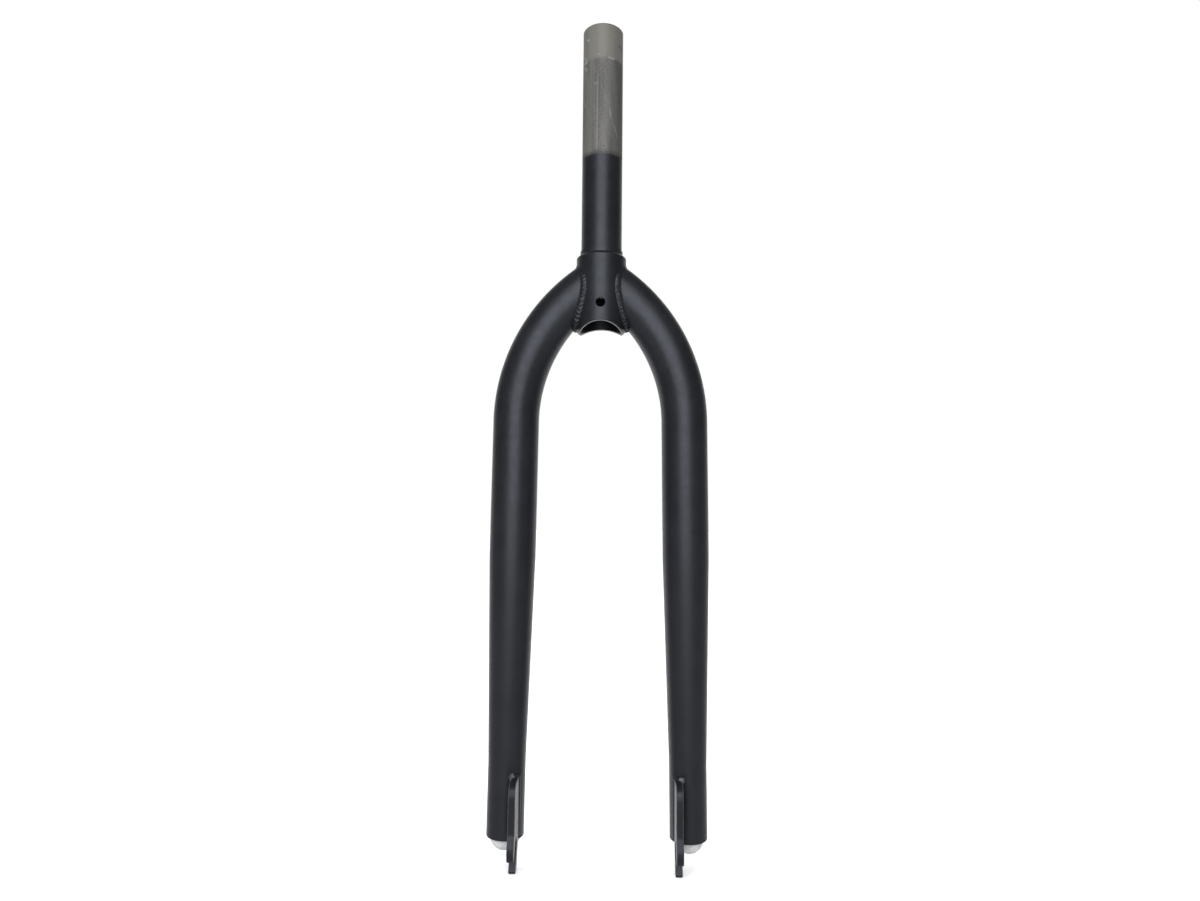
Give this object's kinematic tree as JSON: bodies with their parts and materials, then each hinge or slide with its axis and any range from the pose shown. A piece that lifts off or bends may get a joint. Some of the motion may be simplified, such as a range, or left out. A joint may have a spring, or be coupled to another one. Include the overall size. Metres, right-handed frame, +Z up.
{
  "type": "bicycle fork",
  "caption": "Rigid bicycle fork: straight steerer with race seat, arched crown with a brake hole, bent and tapered tube legs, and slotted plate dropouts.",
  "frame": {"origin": "on the steering axis, at the top of the crown race seat where the steerer begins", "axes": "+Z up along the steering axis, -Y towards the front of the bicycle, +X towards the rider's left"},
  "size_m": [0.1516, 0.0506, 0.579],
  "materials": {
    "steerer_steel": "satin black paint, bare steel above the paint line",
    "black_paint": "satin black",
    "weld_paint": "satin black over a rippled bead",
    "plug_plastic": "milky plastic"
  },
  "bodies": {
    "root": {"steerer_tube": "steerer_steel", "left_leg": "black_paint", "right_leg": "black_paint", "left_dropout": "black_paint", "right_dropout": "black_paint", "left_crown_weld": "weld_paint", "right_crown_weld": "weld_paint", "left_dropout_weld": "weld_paint", "right_dropout_weld": "weld_paint", "left_leg_plug": "plug_plastic", "right_leg_plug": "plug_plastic"}
  },
  "joints": []
}
